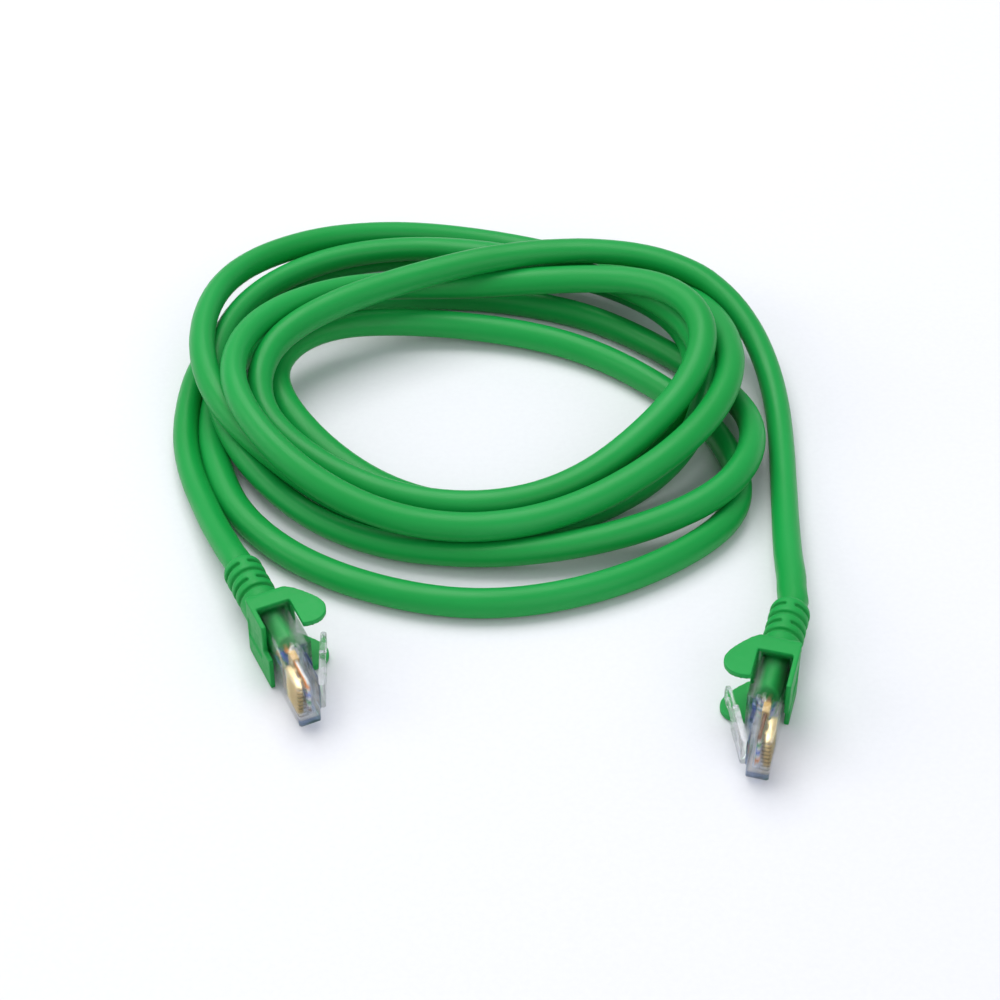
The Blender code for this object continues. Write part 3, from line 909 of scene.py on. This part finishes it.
@dataclass
class Latch(PlugPattern):
    """Springy latch lever with a rounded root, catch shoulders and a grip at its tip."""

    hinge: Point = (-1.00 * MM, 5.20 * MM)
    angle: float = math.radians(23.0)
    length: float = 15.00 * MM
    thickness: float = 1.20 * MM
    tip_thickness: float = 0.85 * MM
    root_width: float = 6.20 * MM
    tip_width: float = 3.25 * MM
    shoulder: float = 8.60 * MM
    grip: float = 12.4 * MM
    edge: float = 0.14 * MM

    def model(self) -> bmesh.types.BMesh:
        """Model the lever lying along its own line, then lean it out from the plug."""
        half = self.thickness / 2
        tip = self.tip_thickness
        outline = [(-self.length, -half + 0.25 * MM), (-self.length, -half + tip),
                   (-self.length + 0.3 * MM, half), (-self.grip, half),
                   (-self.grip + 0.4 * MM, half - 0.2 * MM),
                   (-self.shoulder, half - 0.1 * MM), (-self.shoulder + 0.5 * MM, half)]
        for step in range(9):
            turn = math.pi / 2 - math.pi * step / 8
            outline.append((half * math.cos(turn), half * math.sin(turn)))
        outline += [(-self.shoulder, -half), (-self.length + 0.3 * MM, -half)]
        wide = self.root_width / 2
        blank = prism(outline, -wide, wide)
        tools = []
        for sign in (-1, 1):
            near = sign * self.tip_width / 2
            side = [(-self.shoulder, near), (-self.shoulder - 0.8 * MM, near),
                    (-self.length - MM, near * 0.94), (-self.length - MM, sign * 3 * wide),
                    (-self.shoulder, sign * 3 * wide)]
            tool = prism(side, -2 * MM, 2 * MM)
            bmesh.ops.rotate(tool, verts=tool.verts, cent=(0.0, 0.0, 0.0),
                             matrix=Matrix.Rotation(math.pi / 2, 3, "X"))
            tools.append(tool)
        for number in range(3):
            middle = -self.grip - 0.5 * MM - 0.75 * MM * number
            tools.append(block((middle - 0.14 * MM, half - 0.16 * MM, -wide),
                               (middle + 0.14 * MM, 2 * half, wide)))
        shape = carved(blank, tools, Cut.REMOVE)
        work = holder(shape, "latch")
        rounding = work.modifiers.new("edges", "BEVEL")
        rounding.width = self.edge
        rounding.segments = 3
        rounding.limit_method = "ANGLE"
        rounding.angle_limit = math.radians(40.0)
        shape = taken_from(work)
        bmesh.ops.rotate(shape, verts=shape.verts, cent=(0.0, 0.0, 0.0),
                         matrix=Matrix.Rotation(-self.angle, 3, "Z"))
        bmesh.ops.translate(shape, verts=shape.verts, vec=(*self.hinge, 0.0))
        return shape

    def build(self, place: PlugPlace, material: bpy.types.Material) -> bpy.types.Object:
        """Hinge a latch onto one plug."""
        piece = finished(self.placed(place.matrix), f"latch_lever_{place.side.value}", material,
                         f"latch_{place.side.value}", 30.0)
        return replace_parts(piece, place.node("latch"))


@dataclass
class LoadBar(PlugPattern):
    """Bar with eight holes that holds the wires in a row."""

    front: float = 7.40 * MM
    back: float = 9.90 * MM
    low: float = 2.00 * MM
    high: float = 3.35 * MM
    half_width: float = 4.50 * MM
    hole: float = 0.46 * MM
    pitch: float = 1.016 * MM
    edge: float = 0.08 * MM

    def model(self) -> bmesh.types.BMesh:
        """Model the bar with its holes and softened edges."""
        bar = block((-self.back, self.low, -self.half_width),
                    (-self.front, self.high, self.half_width))
        bevelled(bar, list(bar.edges), self.edge, 2)
        holes = []
        for index in range(8):
            hole = bmesh.new()
            bmesh.ops.create_cone(hole, cap_ends=True, segments=20, radius1=self.hole,
                                  radius2=self.hole, depth=4 * MM,
                                  matrix=Matrix.Rotation(math.pi / 2, 4, "Y"))
            middle = (-(self.front + self.back) / 2, 2.65 * MM, (3.5 - index) * self.pitch)
            bmesh.ops.translate(hole, verts=hole.verts, vec=middle)
            holes.append(hole)
        return carved(bar, holes, Cut.REMOVE)

    def build(self, place: PlugPlace, material: bpy.types.Material) -> bpy.types.Object:
        """Set a load bar in one plug."""
        piece = finished(self.placed(place.matrix), f"amber_bar_{place.side.value}", material,
                         "root", 30.0)
        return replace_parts(piece, place.node("load_bar"))


@dataclass
class Contact(PlugPattern):
    """Stamped contact blade with a rounded nose corner and two piercing teeth."""

    half_thickness: float = 0.15 * MM
    edge: float = 0.05 * MM
    pitch: float = 1.016 * MM
    outline: tuple[Point, ...] = ((-6.90, 0.30), (-6.90, 1.45), (-6.00, 1.45), (-5.60, 2.10),
                                  (-5.20, 1.45), (-3.40, 1.45), (-3.00, 2.10), (-2.60, 1.45),
                                  (-1.35, 1.45), (-1.35, 0.84))

    def model(self) -> bmesh.types.BMesh:
        """Model one blade at the middle of the plug, with its corner as an arc."""
        points = [(x * MM, y * MM) for x, y in self.outline]
        for step in range(7):
            turn = math.pi / 2 * step / 6
            points.append((-1.90 * MM + 0.55 * MM * math.cos(turn),
                           0.84 * MM - 0.54 * MM * math.sin(turn)))
        blade = prism(points, -self.half_thickness, self.half_thickness)
        bmesh.ops.remove_doubles(blade, verts=blade.verts, dist=1e-6)
        rims = [edge for edge in blade.edges if abs(edge.verts[0].co.z - edge.verts[1].co.z) < 1e-7]
        return bevelled(blade, rims, self.edge, 2)

    def build(self, place: PlugPlace, material: bpy.types.Material) -> list[bpy.types.Object]:
        """Set the eight blades into one plug."""
        pieces = []
        for index in range(8):
            shift = Matrix.Translation((0.0, 0.0, (3.5 - index) * self.pitch))
            piece = finished(self.placed(place.matrix @ shift),
                             f"contact_blade_{place.side.value}_{index + 1}", material, "root",
                             30.0)
            pieces.append(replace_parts(piece, place.node(f"contact_{index + 1}")))
        return pieces


@dataclass
class WireRow:
    """Eight insulated wires that fan out from the jacket's end into a row."""

    radius: float = 0.395 * MM
    back: float = 13.50 * MM
    fan: float = 13.20 * MM
    row: float = 10.30 * MM
    front: float = 1.50 * MM
    row_y: float = 2.65 * MM
    bundle_radius: float = 1.50 * MM
    axis_y: float = 3.30 * MM
    pitch: float = 1.016 * MM
    pair_turns: tuple[float, ...] = (22.5, 67.5, 112.5, 157.5)
    colours: tuple[tuple[str, tuple[float, float, float]], ...] = (
        ("orange", (0.80, 0.27, 0.03)), ("green", (0.04, 0.35, 0.09)),
        ("blue", (0.04, 0.13, 0.55)), ("brown", (0.20, 0.095, 0.04)))
    order: tuple[str, ...] = ("orange", "orange", "green", "blue",
                              "blue", "green", "brown", "brown")

    def path(self, index: int, matrix: Matrix) -> list[Vector]:
        """Lead one wire from the bundle to its place in the row.

        Args:
            index: the wire's number, from 0.
            matrix: the plug's place.

        Returns:
            The wire's middle, from back to front.
        """
        turn = math.radians(self.pair_turns[index // 2])
        side = 1.0 if index % 2 == 0 else -1.0
        start_y = self.axis_y + side * self.bundle_radius * math.sin(turn)
        start_z = self.bundle_radius * math.cos(turn)
        end_z = (3.5 - index) * self.pitch
        points = [Vector((-self.back, start_y, start_z))]
        for step in range(19):
            t = step / 18
            spread = min(1.0, 1.5 * t)
            flatten = max(0.0, 1.5 * t - 0.5)
            spread = spread * spread * (3 - 2 * spread)
            flatten = flatten * flatten * (3 - 2 * flatten)
            points.append(Vector((-self.fan + (self.fan - self.row) * t,
                                  start_y + (self.row_y - start_y) * flatten,
                                  start_z + (end_z - start_z) * spread)))
        for step in range(1, 7):
            points.append(Vector((-self.row + (self.row - self.front) * step / 6,
                                  self.row_y, end_z)))
        return [matrix @ point for point in points]

    def build(self, place: PlugPlace,
              finishes: dict[str, bpy.types.Material]) -> list[bpy.types.Object]:
        """Lay the eight wires of one plug, the odd ones striped."""
        pieces = []
        for index, colour in enumerate(self.order):
            look = f"{'white_' if index % 2 == 0 else ''}{colour}"
            path = self.path(index, place.matrix)
            sections = [(self.radius, self.radius, 0.0)] * len(path)
            shape = swept(path, sections, 16, "wire_place")
            piece = finished(shape, f"{look}_wire_{place.side.value}_{index + 1}", finishes[look],
                             "root")
            pieces.append(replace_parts(piece, place.node(f"wire_{index + 1}")))
        return pieces

    def finishes(self) -> dict[str, bpy.types.Material]:
        """Make a plain and a striped insulation for each pair's colour."""
        found = {}
        for name, colour in self.colours:
            found[name] = WireSkin(f"{name}_insulation", colour, False).material()
            found[f"white_{name}"] = WireSkin(f"white_{name}_insulation", colour, True).material()
        return found


# ---------------------------------------------------------------- cord


@dataclass
class CordRoute:
    """Route of the cord's middle from plug A, round the coil, to plug B.

    In the coil each pair is the distance from the coil's centre and the height, in
    millimetres, at every 20 degrees, clockwise from above, starting 210 degrees from +X.
    """

    diameter: float = 5.80 * MM
    axis_y: float = 3.30 * MM
    centre: Point = (-6.8, 77.8)
    first_bearing: float = 210.0
    step: float = 20.0
    spacing: float = 2.5 * MM
    plug_stations: tuple[float, ...] = (13.9, 20.4, 22.4, 28.0, 34.0, 39.5, 42.0)
    tail_a: tuple[tuple[float, float, float], ...] = ((-58.0, 32.2, 5.0),)
    coil: tuple[Point, ...] = (
        (65.0, 3.5), (63.0, 3.0), (63.0, 3.0), (62.0, 3.5), (59.5, 4.5), (54.5, 4.5), (50.5, 4.0),
        (48.5, 5.0), (49.0, 6.0), (49.0, 7.5), (47.0, 8.0), (42.0, 7.0), (37.0, 5.5), (34.0, 4.0),
        (32.5, 3.0), (32.0, 3.0), (32.0, 3.0), (32.5, 3.0), (34.5, 3.5), (39.0, 4.5), (46.0, 7.0),
        (41.5, 8.0), (33.0, 6.0), (28.5, 4.5), (26.0, 4.0), (26.0, 3.5), (28.0, 3.5), (32.0, 3.0),
        (39.0, 3.0), (51.0, 3.0), (61.5, 3.0), (60.5, 3.0), (59.5, 3.0), (59.5, 3.0), (59.0, 3.0),
        (59.5, 3.0), (59.5, 3.0), (58.0, 3.0), (56.5, 3.5), (53.0, 5.0), (46.0, 4.5), (40.5, 3.5),
        (38.0, 3.0), (37.5, 3.0), (39.5, 3.0), (43.0, 3.0), (50.5, 3.5), (58.0, 7.0), (59.5, 8.0),
        (53.0, 6.5), (48.0, 5.0), (46.0, 4.0), (46.5, 3.5), (48.5, 3.5), (51.0, 4.5), (55.0, 7.0),
        (58.0, 9.5), (58.5, 10.0), (55.5, 10.0), (51.0, 9.5), (47.0, 9.0), (45.0, 9.5),
        (44.5, 11.0), (46.0, 12.5), (47.5, 13.5), (47.5, 10.0), (45.0, 6.5), (41.5, 4.0),
        (39.5, 3.0), (39.5, 3.0), (41.0, 4.0), (43.5, 6.0), (47.5, 9.0), (55.5, 13.0),
        (61.0, 14.5), (64.5, 13.5), (62.5, 11.0), (59.5, 7.5), (57.0, 4.5), (55.0, 4.0),
        (54.5, 6.0), (54.5, 10.5), (53.5, 14.0), (51.5, 14.5), (47.5, 13.5), (44.5, 11.5),
        (43.5, 9.5), (44.0, 9.0), (45.5, 10.0), (47.5, 12.5), (50.0, 15.5), (52.5, 17.5),
        (50.5, 17.0), (44.5, 15.0), (39.5, 12.5), (35.5, 10.0), (34.0, 10.0), (35.0, 12.0),
        (38.5, 15.0), (45.0, 18.5), (48.0, 19.5), (44.0, 16.5), (39.0, 13.5), (37.0, 10.5),
        (36.0, 8.5), (35.5, 7.0), (36.0, 6.5), (37.5, 6.5), (41.5, 8.0), (47.0, 10.5),
        (45.5, 14.5), (38.0, 15.5), (34.0, 15.5), (33.0, 15.5), (35.5, 15.5), (41.0, 15.5),
        (50.5, 15.0),
    )
    tail_b: tuple[tuple[float, float, float], ...] = (
        (35.4, 113.8, 14.0), (42.9, 109.8, 12.7), (48.5, 103.9, 10.6), (52.8, 96.3, 8.1),
        (55.3, 87.6, 5.5), (56.6, 78.6, 4.0), (56.8, 69.3, 3.1), (56.5, 59.6, 3.0),
        (56.0, 49.7, 3.0), (55.5, 39.6, 3.6), (54.8, 29.8, 5.0),
    )
    rounds: int = 24
    steps_per_round: int = 25
    apart: int = 9
    pull: float = 0.1
    lift: float = 0.02
    bends: tuple[tuple[int, float], ...] = ((1, 0.9), (3, 0.5))
    sink: float = 0.005 * MM

    def in_plug(self, side: Side) -> list[Vector]:
        """Return the straight run from the jacket's end, through the boot, to past its neck."""
        matrix = PlugPlace(side).matrix
        return [matrix @ Vector((-x * MM, self.axis_y, 0.0)) for x in self.plug_stations]

    def outline(self) -> list[Vector]:
        """Return the whole route's points, from the jacket's end in plug A to that in plug B."""
        turns = []
        for number, (distance, height) in enumerate(self.coil):
            bearing = math.radians(self.first_bearing - number * self.step)
            turns.append(Vector((self.centre[0] + distance * math.cos(bearing),
                                 self.centre[1] + distance * math.sin(bearing), height)) * MM)
        tail_a = [Vector(point) * MM for point in self.tail_a]
        tail_b = [Vector(point) * MM for point in self.tail_b]
        return [*self.in_plug(Side.A), *tail_a, *turns, *tail_b, *reversed(self.in_plug(Side.B))]

    def even(self, points: np.ndarray) -> np.ndarray:
        """Space points evenly along their line."""
        lengths = np.linalg.norm(np.diff(points, axis=0), axis=1)
        run = np.concatenate([[0.0], np.cumsum(lengths)])
        stations = np.linspace(0.0, run[-1], int(run[-1] / self.spacing) + 1)
        return np.stack([np.interp(stations, run, points[:, axis]) for axis in range(3)], axis=1)

    def near_pairs(self, points: np.ndarray) -> tuple[np.ndarray, np.ndarray]:
        """Return the numbers of points that may touch although they are apart on the cord."""
        gaps = np.linalg.norm(points[:, None] - points[None], axis=2)
        first, second = np.nonzero(np.triu(gaps < 2.0 * self.diameter, self.apart))
        return first, second

    def settled(self) -> list[Vector]:
        """Let the cord come to rest: strands push apart, bends even out, and all of it sinks.

        Returns:
            The cord's middle at even spacing.
        """
        line = smooth_line(self.outline(), 12)
        points = self.even(np.array([list(point) for point in line]))
        home = points.copy()
        held = int(0.030 / self.spacing)
        free = np.ones(len(points), dtype=bool)
        free[:held] = False
        free[-held:] = False
        pull = np.array([self.pull, self.pull, self.lift])
        floor = self.diameter / 2
        for turn in range(self.rounds):
            first, second = self.near_pairs(points)
            sink = self.sink if turn < self.rounds - 6 else self.sink / 5
            for _ in range(self.steps_per_round):
                points[free] += (home[free] - points[free]) * pull
                points[free, 2] -= sink
                for stride, share in self.bends:
                    self.ease(points, stride, share, free)
                self.push_apart(points, first, second, free)
                points[free, 2] = np.maximum(points[free, 2], floor)
        return [Vector(point) for point in self.even(points)]

    def ease(self, points: np.ndarray, stride: int, share: float, free: np.ndarray) -> None:
        """Even out the bends that are a few points long.

        Args:
            points: the cord's points, changed in place.
            stride: the number of points from one compared point to the next.
            share: how much of the unevenness is taken out.
            free: which points may move.
        """
        bend = np.zeros_like(points)
        middle = slice(2 * stride, -2 * stride)
        bend[middle] = (4 * points[stride:-3 * stride] + 4 * points[3 * stride:-stride]
                        - points[:-4 * stride] - points[4 * stride:] - 6 * points[middle]) / 16.0
        points[free] += share * bend[free]

    def push_apart(self, points: np.ndarray, first: np.ndarray, second: np.ndarray,
                   free: np.ndarray) -> None:
        """Move touching strands off each other.

        Args:
            points: the cord's points, changed in place.
            first: numbers of one point of each near pair.
            second: numbers of the other.
            free: which points may move.
        """
        between = points[first] - points[second]
        gap = np.linalg.norm(between, axis=1)
        close = gap < self.diameter
        push = between[close] / np.maximum(gap[close], 1e-6)[:, None]
        push *= ((self.diameter - gap[close]) * 0.25)[:, None]
        moves = np.zeros_like(points)
        counts = np.zeros(len(points))
        np.add.at(moves, first[close], push)
        np.add.at(moves, second[close], -push)
        np.add.at(counts, first[close], 1.0)
        np.add.at(counts, second[close], 1.0)
        moves /= np.sqrt(np.maximum(counts, 1.0))[:, None]
        points[free] += moves[free]


@dataclass
class Jacket:
    """The cord's green jacket, one slightly oval tube from plug to plug."""

    route: CordRoute = field(default_factory=CordRoute)
    half_width: float = 3.05 * MM
    half_height: float = 2.72 * MM
    end_scale: float = 0.84
    gripped: float = 4.0 * MM
    squeeze: float = 9.0 * MM
    flat: Point = (2.35 * MM, 4.35 * MM)
    flat_run: Point = (7.4 * MM, 10.4 * MM)
    twist: float = 0.42
    sides: int = 24

    def build(self, material: bpy.types.Material) -> tuple[bpy.types.Object, list[Vector], float]:
        """Lay the cord.

        Args:
            material: the jacket's finish.

        Returns:
            The piece, the line that it follows, and its length.
        """
        path = self.route.settled()
        runs = [(end - start).length for start, end in zip(path, path[1:])]
        length = sum(runs)
        sections = []
        along = 0.0
        for index in range(len(path)):
            along += runs[index - 1] if index else 0.0
            end = min(along, length - along)
            freed = max(0.0, end - self.gripped)
            scale = min(1.0, self.end_scale + (1 - self.end_scale) * freed / self.squeeze)
            turn = math.tau * (end / self.twist) + 0.9 * math.sin(end / 0.19)
            width, height = self.half_width * scale, self.half_height * scale
            first, last = self.flat_run
            held = 1.0 - min(1.0, max(0.0, (end - first) / (last - first)))
            sections.append((width + (self.flat[0] - width) * held,
                             height + (self.flat[1] - height) * held, turn * (1.0 - held)))
        shape = swept(path, sections, self.sides, "jacket_place")
        piece = finished(shape, "green_jacket", material, "root", 60.0)
        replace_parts(piece, "cord_coil", "cord_tail_a", "cord_tail_b")
        return piece, path, length


# ---------------------------------------------------------------- assembly


@dataclass
class PatchCable:
    """The whole cable: the cord and a booted plug on each end."""

    jacket: Jacket = field(default_factory=Jacket)
    boot: Boot = field(default_factory=Boot)
    housing: Housing = field(default_factory=Housing)
    latch: Latch = field(default_factory=Latch)
    load_bar: LoadBar = field(default_factory=LoadBar)
    contact: Contact = field(default_factory=Contact)
    wires: WireRow = field(default_factory=WireRow)

    def build(self) -> None:
        vinyl = GreenVinyl("green_jacket_vinyl", "jacket_place").material()
        cord, path, length = self.jacket.build(vinyl)
        moulding = GreenVinyl("green_boot_vinyl", "plug_place", roughness=(0.44, 0.56),
                              streak=1.0, grain=3200.0).material()
        resin = ClearResin("clear_housing_resin").material()
        # The latch gets no painted bluish shade.
        lever = ClearResin("clear_latch_resin", with_painted_shade=False).material()
        amber = AmberResin().material()
        gold = GoldPlate().material()
        insulation = self.wires.finishes()
        for side in Side:
            place = PlugPlace(side)
            pieces = [self.boot.build(place, moulding), self.housing.build(place, resin),
                      self.load_bar.build(place, amber), *self.contact.build(place, gold),
                      *self.wires.build(place, insulation)]
            self.latch.build(place, lever)
        LOG.info("cord: %.3f m from jacket end to jacket end", length)


def main() -> None:
    logging.basicConfig(level=logging.INFO, format="%(name)s %(message)s")
    Studio().build()
    PatchCable().build()


if __name__ == "__main__":
    main()
